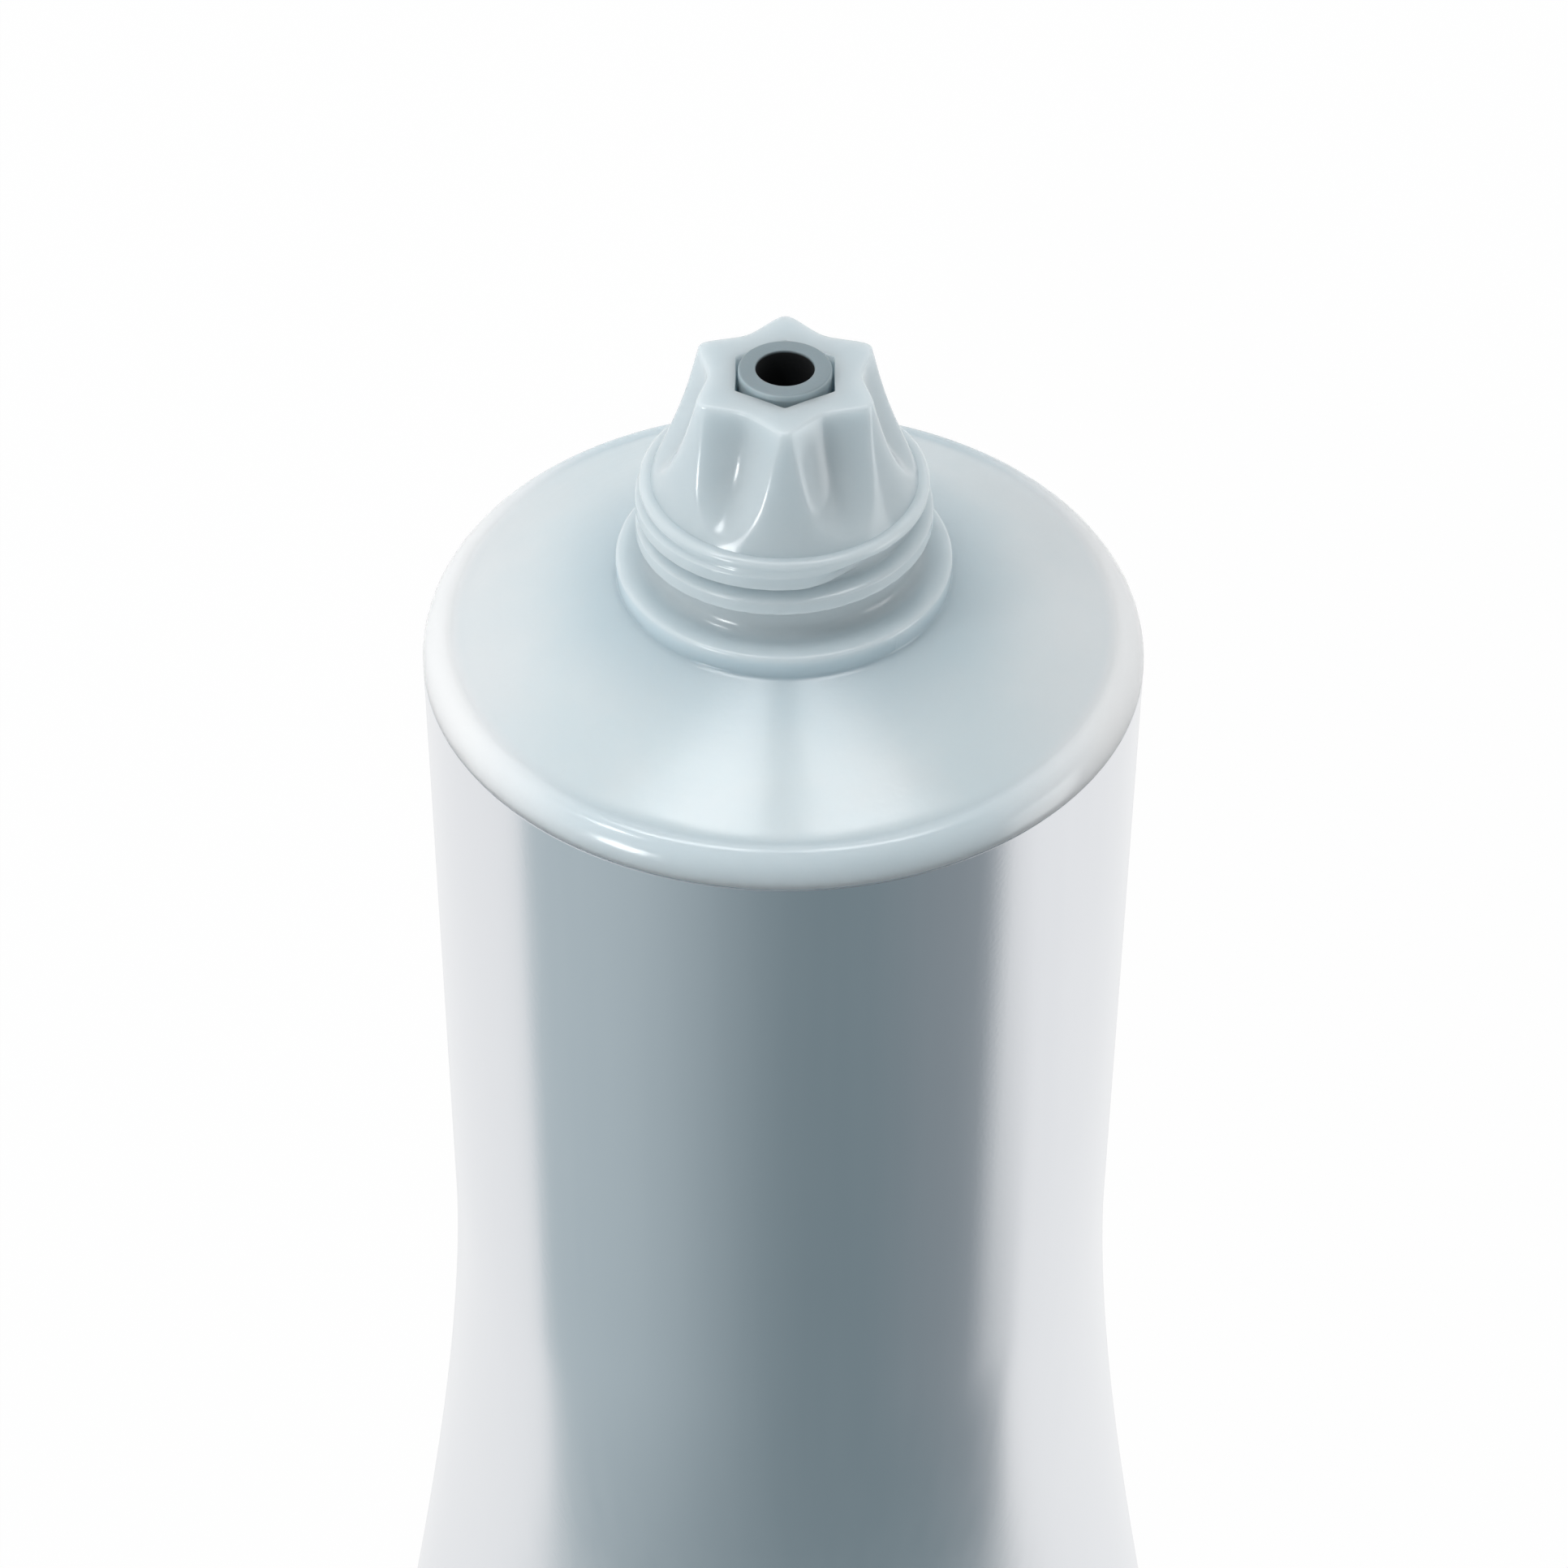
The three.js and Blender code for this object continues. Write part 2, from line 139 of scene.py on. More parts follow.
def densified(points, step):
    # Adds points along each stretch of an outline, no further apart than the step.
    parts = []
    for start, end in zip(points[:-1], points[1:]):
        count = max(int(np.ceil(np.linalg.norm(end - start) / step)), 1)
        share = np.arange(count)[:, None] / count
        parts.append(blendTo(start, end, share))
    return np.concatenate(parts + [points[-1:]])


# Shader maths as Python expressions

class Wire:
    # A socket whose arithmetic adds Math nodes to its tree.

    def __init__(self, tree, socket):
        self.tree = tree
        self.socket = socket

    def maths(self, operation, other=None, swapped=False):
        node = self.tree.nodes.new("ShaderNodeMath")
        node.operation = operation
        own, others = (1, 0) if swapped else (0, 1)
        self.tree.links.new(self.socket, node.inputs[own])
        if isinstance(other, Wire):
            self.tree.links.new(other.socket, node.inputs[others])
        elif other is not None:
            node.inputs[others].default_value = other
        return Wire(self.tree, node.outputs[0])

    def __add__(self, other):
        return self.maths("ADD", other)

    def __radd__(self, other):
        return self.maths("ADD", other, swapped=True)

    def __sub__(self, other):
        return self.maths("SUBTRACT", other)

    def __rsub__(self, other):
        return self.maths("SUBTRACT", other, swapped=True)

    def __mul__(self, other):
        return self.maths("MULTIPLY", other)

    def __rmul__(self, other):
        return self.maths("MULTIPLY", other, swapped=True)

    def __truediv__(self, other):
        return self.maths("DIVIDE", other)

    def __rtruediv__(self, other):
        return self.maths("DIVIDE", other, swapped=True)

    def __pow__(self, other):
        return self.maths("POWER", other)


class Nodes:
    # A node tree, with one method that adds a node of any kind.

    def __init__(self, tree):
        self.tree = tree

    def add(self, kind, output, settings=None, sockets=None):
        # Sets the node's settings first, then the values or links of its sockets.
        node = self.tree.nodes.new(kind)
        for key, value in (settings or {}).items():
            setattr(node, key, value)
        for key, value in (sockets or {}).items():
            if isinstance(value, Wire):
                self.tree.links.new(value.socket, node.inputs[key])
            else:
                node.inputs[key].default_value = value
        return Wire(self.tree, node.outputs[output])

    def stepUp(self, value, low, high):
        return self.add("ShaderNodeMapRange", "Result", {"interpolation_type": "SMOOTHSTEP"},
                        {"Value": value, "From Min": low, "From Max": high})

    def mix(self, share, first, second):
        return self.add("ShaderNodeMix", 2, {"data_type": "RGBA"}, {0: share, 6: first, 7: second})


class Finish(Nodes):
    # A material around one Principled shader, with patterns on Object coordinates.

    def __init__(self, name, surface):
        self.material = bpy.data.materials.new(name)
        self.material.use_nodes = True
        super().__init__(self.material.node_tree)
        self.shader = self.tree.nodes["Principled BSDF"]
        for socket, value in surface.items():
            self.shader.inputs[socket].default_value = value
        self.place = self.add("ShaderNodeTexCoord", "Object")

    def scaled(self, stretch):
        return self.add("ShaderNodeVectorMath", "Vector", {"operation": "MULTIPLY"},
                        {0: self.place, 1: stretch})

    def noise(self, scale, detail=2.0, stretch=(1, 1, 1)):
        return self.add("ShaderNodeTexNoise", "Fac", None,
                        {"Vector": self.scaled(stretch), "Scale": scale, "Detail": detail})

    def axisParts(self):
        # Distance from the tube's axis, and height up it, in metres.
        x, y, z = (self.add("ShaderNodeSeparateXYZ", k, None, {0: self.place}) for k in range(3))
        up = z - tube["sleeveRadius"] * tube["millimetre"]
        return (x * x + up * up) ** 0.5, axisShift * tube["millimetre"] - y

    def feed(self, socket, wire):
        self.tree.links.new(wire.socket, self.shader.inputs[socket])

    def bump(self, height, strength, distance):
        sockets = {"Height": height, "Strength": strength, "Distance": distance}
        self.feed("Normal", self.add("ShaderNodeBump", "Normal", None, sockets))


def dress(piece, finish, node):
    # Gives a piece its finish, and puts it in the place of the solid of this name.
    piece.data.materials.clear()
    piece.data.materials.append(finish.material)
    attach(piece, "root")
    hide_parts(node)


# Finishes

milky = {
    "cool": (0.64, 0.75, 0.80, 1),
    "warm": (0.68, 0.77, 0.81, 1),
    # Painted shade: the shoulder darkens towards the flange.
    "flangeShade": (0.50, 0.60, 0.65, 1),
    "neck": (0.54, 0.61, 0.64, 1),
    "bead": (0.59, 0.68, 0.725, 1),
    # Painted light: the tube's two sides, lit from the sides and from behind, are paler.
    "side": (0.93, 0.95, 0.97, 1),
    # A pair gives the metres over which a tone comes in, by radius, height or distance across.
    "flangeShadeRadius": (0.0145, 0.0085),
    "neckHeight": (0.0056, 0.0066),
    "beadRadius": (0.0168, 0.0178),
    "sideLightAcross": (0.009, 0.018),
    "sideLightOffBead": 0.45,
    "depth": 0.003,
    "roughness": 0.18,
    "grainRoughness": 0.1,
    "cloudRoughness": 0.08,
    "cloudScale": 140,
    "cloudEdges": (0.35, 0.65),
    "grainScale": 2600,
    "ringDensity": 9000,
    "ringRadius": (0.0095, 0.011),
    "grainRelief": 0.5,
    "ringRelief": 0.04,
    "cloudRelief": 2,
    "relief": (0.25, 0.00004),
}


def milkyPlastic():
    # Natural translucent moulded plastic: light sinks in, flow marks vary its tone and gloss.
    finish = Finish("milky plastic", {
        "IOR": 1.5, "Subsurface Weight": 1.0, "Subsurface Radius": (1.0, 1.0, 1.0),
        "Subsurface Scale": milky["depth"],
    })
    cloud = finish.noise(milky["cloudScale"], 3)
    radius, height = finish.axisParts()
    across = finish.add("ShaderNodeSeparateXYZ", 0, None, {0: finish.place}).maths("ABSOLUTE")

    # The walls are darker towards the neck: painted shade on the shoulder near the flange, and a
    # darker tone from the flange up. Painted light makes the tube's two sides paler.
    tone = finish.mix(finish.stepUp(cloud, *milky["cloudEdges"]), milky["cool"], milky["warm"])
    tone = finish.mix(finish.stepUp(radius, *milky["flangeShadeRadius"]), tone, milky["flangeShade"])
    tone = finish.mix(finish.stepUp(height, *milky["neckHeight"]), tone, milky["neck"])
    onBead = finish.stepUp(radius, *milky["beadRadius"])
    tone = finish.mix(onBead, tone, milky["bead"])
    # Painted light on the tube's sides, full on the bead and weaker on the shoulder.
    share = onBead * (1 - milky["sideLightOffBead"]) + milky["sideLightOffBead"]
    sideLight = finish.stepUp(across, *milky["sideLightAcross"]) * share
    finish.feed("Base Color", finish.mix(sideLight, tone, milky["side"]))

    # Fine grain, slow clouds, and the mould's turning marks on the shoulder.
    grain = finish.noise(milky["grainScale"], 2)
    finish.feed("Roughness", milky["roughness"] + (grain - 0.5) * milky["grainRoughness"]
                + (cloud - 0.5) * milky["cloudRoughness"])
    rings = (radius * milky["ringDensity"]).maths("SINE")
    onShoulder = finish.stepUp(radius, *milky["ringRadius"])
    finish.bump(grain * milky["grainRelief"] + rings * onShoulder * milky["ringRelief"]
                + cloud * milky["cloudRelief"], *milky["relief"])
    return finish


grey = {
    "light": (0.235, 0.295, 0.32, 1),
    "dark": (0.215, 0.27, 0.295, 1),
    # Painted light: the nozzle's outer wall, in shade inside the star opening, is made paler.
    "wall": (0.36, 0.44, 0.47, 1),
    # Painted shade: the bore is near black.
    "bore": (0.003, 0.004, 0.005, 1),
    # Metres over which the bore's painted shade and the wall's painted light come in.
    "boreRadius": (0.0016, 0.0015),
    "boreHeight": (0.01802, 0.01785),
    "wallLightRadius": (0.0023, 0.00236),
    "roughness": 0.42,
    "boreRoughness": 0.9,
    "grainRoughness": 0.16,
    "cloudScale": 500,
    "grainScale": 5000,
    "relief": (0.3, 0.00003),
}


def greyPlastic():
    # Opaque grey, with painted shade, near black, down its bore.
    finish = Finish("grey plastic", {
        "IOR": 1.5, "Subsurface Weight": 0.08, "Subsurface Scale": 0.0005,
    })
    cloud = finish.noise(grey["cloudScale"], 3)
    radius, height = finish.axisParts()
    # Painted shade makes the bore near black, and its roughness is raised there too.
    inBore = (finish.stepUp(radius, *grey["boreRadius"])
              * finish.stepUp(height, *grey["boreHeight"]))
    tone = finish.mix(cloud, grey["dark"], grey["light"])
    # Painted light makes the outer wall paler.
    tone = finish.mix(finish.stepUp(radius, *grey["wallLightRadius"]), tone, grey["wall"])
    finish.feed("Base Color", finish.mix(inBore, tone, grey["bore"]))
    grain = finish.noise(grey["grainScale"], 2)
    finish.feed("Roughness", grey["roughness"] + (grain - 0.5) * grey["grainRoughness"]
                + inBore * (grey["boreRoughness"] - grey["roughness"]))
    finish.bump(grain, *grey["relief"])
    return finish


silver = {
    "base": (0.76, 0.775, 0.80, 1),
    "shade": (0.70, 0.72, 0.75, 1),
    "roughness": 0.2,
    "drawnRoughness": 0.08,
    "cloudRoughness": 0.05,
    "drawnScale": 900,
    "drawnStretch": (1, 0.04, 1),
    "grainScale": 4200,
    "cloudScale": 60,
    "grainRelief": 0.6,
    "drawnRelief": 0.4,
    "relief": (0.12, 0.00003),
}


def silverLaminate():
    # Pearl silver film: nearly a mirror, softened by a fine grain drawn out along the tube.
    finish = Finish("silver laminate", {
        "Metallic": 1.0, "Coat Weight": 0.15, "Coat Roughness": 0.25,
    })
    drawn = finish.noise(silver["drawnScale"], 3, silver["drawnStretch"])
    grain = finish.noise(silver["grainScale"], 2)
    cloud = finish.noise(silver["cloudScale"], 2)
    share = drawn * 0.5 + cloud * 0.5
    finish.feed("Base Color", finish.mix(share, silver["shade"], silver["base"]))
    finish.feed("Roughness", silver["roughness"] + (drawn - 0.5) * silver["drawnRoughness"]
                + (cloud - 0.5) * silver["cloudRoughness"])
    finish.bump(grain * silver["grainRelief"] + drawn * silver["drawnRelief"],
                *silver["relief"])
    return finish


pale = {
    "light": (0.84, 0.85, 0.84, 1),
    "dark": (0.78, 0.79, 0.78, 1),
    "roughness": 0.5,
    "drawnRoughness": 0.15,
    "drawnScale": 700,
    "drawnStretch": (1, 0.1, 1),
    "relief": (0.2, 0.00005),
}


def palePlastic():
    finish = Finish("pale film", {"IOR": 1.5, "Subsurface Weight": 0.2, "Subsurface Scale": 0.001})
    drawn = finish.noise(pale["drawnScale"], 3, pale["drawnStretch"])
    finish.feed("Base Color", finish.mix(drawn, pale["dark"], pale["light"]))
    finish.feed("Roughness", pale["roughness"] + (drawn - 0.5) * pale["drawnRoughness"])
    finish.bump(drawn, *pale["relief"])
    return finish


finishes = {
    "milky": milkyPlastic(),
    "grey": greyPlastic(),
    "silver": silverLaminate(),
    "pale": palePlastic(),
}
print("finishes made")

# Camera, standing over the nozzle's side and turned so that the nozzle is at the picture's top

camera = {
    "focalPixels": 5491.7,
    "imagePixels": 1932,
    "sensor": 36.0,
    "elevation": 41.6,
    "distance": 241.95,
    "targetX": 0.07,
    "targetHeight": -9.86,
    "roll": 0.344,
    "near": 0.01,
    "far": 20,
}


def placeCamera():
    # Upright, the tube is seen from above at the elevation; the same turn carries it all over.
    lens = bpy.data.cameras.new("camera")
    lens.sensor_width = camera["sensor"]
    lens.lens = camera["focalPixels"] / camera["imagePixels"] * camera["sensor"]
    lens.clip_start = camera["near"]
    lens.clip_end = camera["far"]
    viewer = bpy.data.objects.new("camera", lens)
    bpy.context.scene.collection.objects.link(viewer)
    rise = math.radians(camera["elevation"])
    roll = math.radians(camera["roll"])
    away = Vector((0, -math.sin(rise), math.cos(rise)))
    level = Vector((-1, 0, 0))
    up = Vector((0, -math.cos(rise), -math.sin(rise)))
    right = level * math.cos(roll) + up * math.sin(roll)
    top = up * math.cos(roll) - level * math.sin(roll)
    target = Vector(toRow(-camera["targetX"], 0.0, camera["targetHeight"]))
    place = target + away * camera["distance"] * tube["millimetre"]
    turn = Matrix((right, top, away)).transposed().to_4x4()
    viewer.matrix_world = Matrix.Translation(place) @ turn
    bpy.context.scene.camera = viewer


placeCamera()
print("camera placed")

# Outer head

head = {
    "columns": 384,
    "footRadius": 17.4, "footHeight": 1.78, "grooveWidth": 0.3, "grooveDepth": 0.03,
    "skirtRadius": 18.4, "skirtBore": 17.3, "skirtLength": 4.0, "wall": 1.1,
    "flangeRadius": 8.74, "flangeBottom": 5.09, "flangeTop": 6.32, "flangeEdge": 0.2,
    "flangeFoot": (0.12, 0.16), "coneStart": 0.3, "coneStep": 0.6, "boreStep": 1.0,
    "neckRadius": 6.9, "neckBore": 5.7, "neckFillet": 0.75,
    "collarRadius": 7.45, "collarDepth": 0.5, "collarSlope": 0.5, "collarEdge": 0.3,
    "ledgeHeight": 11.32,
}
# Rows of points on each curved stretch of the head
headRows = {
    "channel": 10, "openingEdge": 4, "rim": 5, "rimEdge": 6, "bellUpper": 26, "bellLower": 34,
    "collarEdge": 8, "neck": 92, "neckFillet": 7, "flangeEdge": 5, "flangeFoot": 4, "bead": 14,
}
thread = {
    "radius": 7.67, "pitch": 1.58, "turns": 1.5, "topHeight": 10.4, "topAngle": 125.0,
    "runOut": 30.0, "crest": 0.66, "upperFlank": 0.42, "lowerFlank": 0.24,
}
nozzle = {
    "rimHeight": 17.7, "rimRadius": 5.05, "footRadius": 6.78, "flare": 1.6,
    "ribCorner": 0.38, "ribSpread": 2.2, "fluteDepth": 1.31, "footLift": 0.4, "footPower": 4.5,
    "tipSoftness": 0.42, "fluteSoftness": 0.2, "crestSoftness": 0.09, "rimEdge": 0.22,
    "openingTip": 2.9, "openingFlute": 2.42, "openingSoftness": 0.06, "openingEdge": 0.06,
    "openingLength": 2.6, "channelRadius": 4.3, "channelHeight": 12.3, "boreTaper": 1.9,
    "lowerBell": 2.2,
}
columnAngle = np.linspace(0, 2 * np.pi, head["columns"], endpoint=False)
shoulderSlope = ((head["flangeBottom"] - head["footHeight"])
                 / (head["footRadius"] - head["flangeRadius"]))
shoulderSteep = math.hypot(1, shoulderSlope)


def shoulderUnderside(radius):
    # The shoulder's cone, lowered by its wall, which is measured square to it.
    outside = head["flangeBottom"] + (head["flangeRadius"] - radius) * shoulderSlope
    return outside - head["wall"] * shoulderSteep


def starRadius(angle, tip, flute, tipSoftness, fluteSoftness):
    # Straight lines from six tips to six flutes. At an angle a from the nearest tip, in polar
    # form, r = t f sin 30 / (t sin a + f sin(30 - a)), with t and f the radii of tip and flute.
    # Each corner is rounded by the hyperbola between its two lines.
    sixth = np.pi / 3
    fromTip = np.abs((angle - np.pi / 2 + sixth / 2) % sixth - sixth / 2)

    def line(turn):
        return tip * flute * 0.5 / (tip * np.sin(turn) + flute * np.sin(np.pi / 6 - turn))

    here = line(fromTip)
    overTip = line(-fromTip)
    overFlute = line(sixth - fromTip)
    tipGap = (here - overTip) / 2
    fluteGap = (here - overFlute) / 2
    tipCut = np.sqrt(tipGap ** 2 + tipSoftness ** 2) - np.abs(tipGap)
    fluteFill = np.sqrt(fluteGap ** 2 + fluteSoftness ** 2) - np.abs(fluteGap)
    return here - tipCut + fluteFill


def nozzleRadius(height):
    # A bell, body = rim + (foot - rim) fallen^flare, where fallen runs from 0 at the rim to 1 at
    # the ledge. Flutes are cut into it, and their floor rises to meet it near its foot:
    # floor = body - depth (1 - (fallen / footFallen)^power). The star's tips stand out of the
    # bell, more so lower down, and the bell's own surface rounds them off into ribs.
    span = nozzle["rimHeight"] - head["ledgeHeight"]
    fallen = ((nozzle["rimHeight"] - height) / span)[:, None]
    body = blendTo(nozzle["rimRadius"], nozzle["footRadius"], fallen ** nozzle["flare"])
    footFallen = 1 - nozzle["footLift"] / span
    floor = body - nozzle["fluteDepth"] * (1 - (fallen / footFallen) ** nozzle["footPower"])
    tip = body + nozzle["ribCorner"] + nozzle["ribSpread"] * fallen
    star = starRadius(columnAngle, tip, floor, nozzle["tipSoftness"], nozzle["fluteSoftness"])
    return softLess(star, body + nozzle["crestSoftness"], nozzle["crestSoftness"])


def threadedRadius(radius, height):
    # The neck's core with a right-hand ridge on it. Its middle lies at top - pitch * below / 360,
    # where below is the angle from the ridge's top end, in the first turn and in the next.
    deg = np.degrees(columnAngle)[None, :]
    first = (thread["topAngle"] - deg) % 360
    grownRadius = np.broadcast_to(radius[:, None], (len(radius), head["columns"])).copy()
    for below in (first, first + 360):
        middle = thread["topHeight"] - thread["pitch"] * below / 360
        offset = height[:, None] - middle
        flank = np.where(offset > 0, thread["upperFlank"], thread["lowerFlank"])
        outOfCrest = np.maximum(np.abs(offset) - thread["crest"] / 2, 0)
        section = 1 - smoothStep(outOfCrest, 0, flank)
        left = np.minimum(below, 360 * thread["turns"] - below)
        grown = smoothStep(left, 0, thread["runOut"])
        ridge = blendTo(radius[:, None], thread["radius"], section * grown)
        grownRadius = np.maximum(grownRadius, ridge)
    return grownRadius


def allRound(column, count):
    # One column of values, repeated for every column of points.
    return np.repeat(np.reshape(column, (-1, 1)), count, axis=1)


def turned(name, radius, height, angle):
    # Rows of radius and height, carried round the axis: radius cos angle, radius sin angle.
    return closedGrid(name, toRow(radius * np.cos(angle), radius * np.sin(angle), height))


def outerHead():
    # The outline goes up the bore, out over the rim and down the outside to the skirt's foot.
    parts = []

    def addRows(radius, height):
        parts.append((radius, allRound(height, head["columns"])))

    def addPlain(profile):
        addRows(allRound(profile[:, 0], head["columns"]), profile[:, 1])

    bore = np.array([
        [head["skirtBore"], -head["skirtLength"]],
        [head["skirtBore"], shoulderUnderside(head["skirtBore"])],
        [head["neckBore"], shoulderUnderside(head["neckBore"])],
        [head["neckBore"], nozzle["channelHeight"] - nozzle["boreTaper"]],
        [nozzle["channelRadius"], nozzle["channelHeight"]],
    ])
    addPlain(densified(bore, head["boreStep"]))

    # The channel narrows from the neck's bore to the star opening.
    settled = nozzle["rimHeight"] - nozzle["openingLength"]
    opening = starRadius(columnAngle, nozzle["openingTip"], nozzle["openingFlute"],
                         nozzle["openingSoftness"], nozzle["openingSoftness"])
    share = np.linspace(0, 1, headRows["channel"])[1:, None]
    addRows(blendTo(nozzle["channelRadius"], opening, share),
            blendTo(nozzle["channelHeight"], settled, share))
    edge = nozzle["openingEdge"]
    turn = np.radians(np.linspace(0, 90, headRows["openingEdge"]))[:, None]
    addRows(opening + edge * (1 - np.cos(turn)), nozzle["rimHeight"] - edge * (1 - np.sin(turn)))

    # The rim's top, its rounded outer edge and the fluted bell below it.
    rimEdge = nozzle["rimEdge"]
    rim = nozzleRadius(np.array([nozzle["rimHeight"] - rimEdge]))
    share = np.linspace(0, 1, headRows["rim"])[1:-1, None]
    addRows(blendTo(opening + edge, rim - rimEdge, share), np.full(len(share), nozzle["rimHeight"]))
    turn = np.radians(np.linspace(90, 0, headRows["rimEdge"]))[:, None]
    addRows(rim - rimEdge * (1 - np.cos(turn)), nozzle["rimHeight"] - rimEdge * (1 - np.sin(turn)))
    upper = np.linspace(nozzle["rimHeight"] - rimEdge, head["ledgeHeight"] + nozzle["lowerBell"],
                        headRows["bellUpper"])[1:]
    lower = np.linspace(upper[-1], head["ledgeHeight"], headRows["bellLower"])[1:]
    bell = np.concatenate([upper, lower])
    addRows(nozzleRadius(bell), bell)

    # The ledge and collar, then the threaded neck.
    edge = head["collarEdge"]
    addPlain(np.concatenate([
        [[(nozzle["footRadius"] + head["collarRadius"]) / 2, head["ledgeHeight"]]],
        arc((head["collarRadius"] - edge, head["ledgeHeight"] - edge), (edge, edge),
            90, 0, headRows["collarEdge"]),
    ]))
    slopeStart = head["ledgeHeight"] - head["collarDepth"]
    neckFoot = head["flangeTop"] + head["neckFillet"]
    heights = np.linspace(head["ledgeHeight"] - edge, neckFoot, headRows["neck"])[1:-1]
    fallen = smoothStep(slopeStart - heights, 0, head["collarSlope"])
    core = blendTo(head["collarRadius"], head["neckRadius"], fallen)
    addRows(threadedRadius(core, heights), heights)

    # The flange, the shoulder's cone, the bead round its foot and the skirt.
    fillet = head["neckFillet"]
    edge = head["flangeEdge"]
    footWidth, footDrop = head["flangeFoot"]
    addPlain(np.concatenate([
        arc((head["neckRadius"] + fillet, neckFoot), (fillet, fillet),
            180, 270, headRows["neckFillet"]),
        arc((head["flangeRadius"] - edge, head["flangeTop"] - edge), (edge, edge),
            90, 0, headRows["flangeEdge"]),
        [[head["flangeRadius"], head["flangeBottom"] + footWidth]],
        arc((head["flangeRadius"] + footWidth, head["flangeBottom"] + footWidth),
            (footWidth, footDrop), 180, 250, headRows["flangeFoot"]),
    ]))
    cone = np.array([
        [head["flangeRadius"] + head["coneStart"],
         head["flangeBottom"] - head["coneStart"] * shoulderSlope],
        [head["footRadius"], head["footHeight"]],
    ])
    addPlain(densified(cone, head["coneStep"]))
    bead = tube["sleeveRadius"] - head["footRadius"] - head["grooveWidth"]
    addPlain(np.concatenate([
        [[head["footRadius"] + head["grooveWidth"] / 2, head["footHeight"] - head["grooveDepth"]]],
        arc((tube["sleeveRadius"] - bead, 0.0), (bead, head["footHeight"]),
            90, 0, headRows["bead"]),
        [[head["skirtRadius"], 0.0], [head["skirtRadius"], -head["skirtLength"]]],
    ]))
    radius, height = (np.concatenate(rows) for rows in zip(*parts))
    return turned("outerHeadMoulding", radius, height, columnAngle)


dress(outerHead(), finishes["milky"], "outer_head")
print("outer head made")

# Outer sleeve

sleeve = {
    "columns": 240,
    "wall": 0.5, "innerRadius": 12.5, "roundLength": 40.0, "pressPower": 1.6,
    "sealLength": 8.0, "sealHalf": 0.95, "slitHalf": 0.45, "slitSide": 0.4, "slitInset": 0.95,
    "slitStart": 0.05, "squareFrom": 0.8, "capShare": 0.01,
    "jointGap": 0.1, "jointEdge": 0.02, "crimpPitch": 1.15, "crimpHeight": 0.1, "crimpMargin": 0.9,
    "edgeRadius": 0.12,
    "roundRows": 24, "pressedRows": 70, "sealRows": 72, "insideRows": 24,
    "halvings": 40, "ovalPoints": 1441, "barPoints": 16,
}
sealStart = tube["sleeveLength"] - sleeve["sealLength"]


def pressedAt(depth):
    # 0 where the tube is round and 1 at the seal, and between them the share of the way to a power.
    share = (depth - sleeve["roundLength"]) / (sealStart - sleeve["roundLength"])
    return np.clip(share, 0, 1) ** sleeve["pressPower"]


def ovalHalfWidth(girth, halfHeight):
    # Halving finds the half width whose ellipse has the girth, by Ramanujan's length of an ellipse.
    low = halfHeight.copy()
    high = np.full_like(halfHeight, girth / 4)
    for _ in range(sleeve["halvings"]):
        middle = (low + high) / 2
        ratio = ((middle - halfHeight) / (middle + halfHeight)) ** 2
        length = np.pi * (middle + halfHeight) * (1 + 3 * ratio / (10 + np.sqrt(4 - 3 * ratio)))
        low = np.where(length < girth, middle, low)
        high = np.where(length < girth, high, middle)
    return (low + high) / 2


def evenly(x, y, count):
    # Points spaced evenly by length along a closed outline.
    length = np.concatenate([[0], np.cumsum(np.hypot(np.diff(x), np.diff(y)))])
    wanted = np.linspace(0, length[-1], count, endpoint=False)
    return np.interp(wanted, length, x), np.interp(wanted, length, y)


def flatBar(halfWidth, halfHeight, count):
    # Two straight sides joined by half circles.
    straight = halfWidth - halfHeight
    turn = np.radians(np.linspace(0, 90, sleeve["barPoints"]))
    outward = halfHeight * np.cos(turn)
    upward = halfHeight * np.sin(turn)
    x = np.concatenate([straight + outward, -straight - upward,
                        -straight - outward, straight + upward])
    y = np.concatenate([upward, outward, -upward, -outward])
    return evenly(x, y, count)


def sleeveSurface(radius, sealHalf, depths):
    # Sections of one girth: an ellipse that is pressed flatter and squared to a flat bar at the
    # seal. Its middle sinks as it is pressed, so that the underside stays level.
    columns = sleeve["columns"]
    girth = 2 * np.pi * radius
    pressed = pressedAt(depths)
    halfHeight = blendTo(radius, sealHalf, pressed)
    halfWidth = ovalHalfWidth(girth, halfHeight)
    squared = smoothStep(pressed, sleeve["squareFrom"], 1)
    turn = np.linspace(0, 2 * np.pi, sleeve["ovalPoints"])
    x = np.empty((len(depths), columns))
    y = np.empty_like(x)
    for row, (wide, high, share) in enumerate(zip(halfWidth, halfHeight, squared)):
        ovalX, ovalY = evenly(wide * np.cos(turn), high * np.sin(turn), columns)
        barX, barY = flatBar(high + (girth - 2 * np.pi * high) / 4, high, columns)
        x[row] = blendTo(ovalX, barX, share)
        y[row] = blendTo(ovalY, barY, share)
    sink = (tube["sleeveRadius"] - sleeve["sealHalf"]) * pressed
    return x, y, sink[:, None]


def crimp(y, depths):
    # Grooves pressed across the seal, each height (1 - cos) / 2 deep, at the crimp's pitch.
    inSeal = depths - sealStart - sleeve["crimpMargin"]
    bars = int((sleeve["sealLength"] - 2 * sleeve["crimpMargin"]) / sleeve["crimpPitch"])
    on = (inSeal > 0) & (inSeal < bars * sleeve["crimpPitch"])
    wave = (1 - np.cos(2 * np.pi * inSeal / sleeve["crimpPitch"])) / 2 * on
    return y * (1 - (sleeve["crimpHeight"] * wave / sleeve["sealHalf"])[:, None])


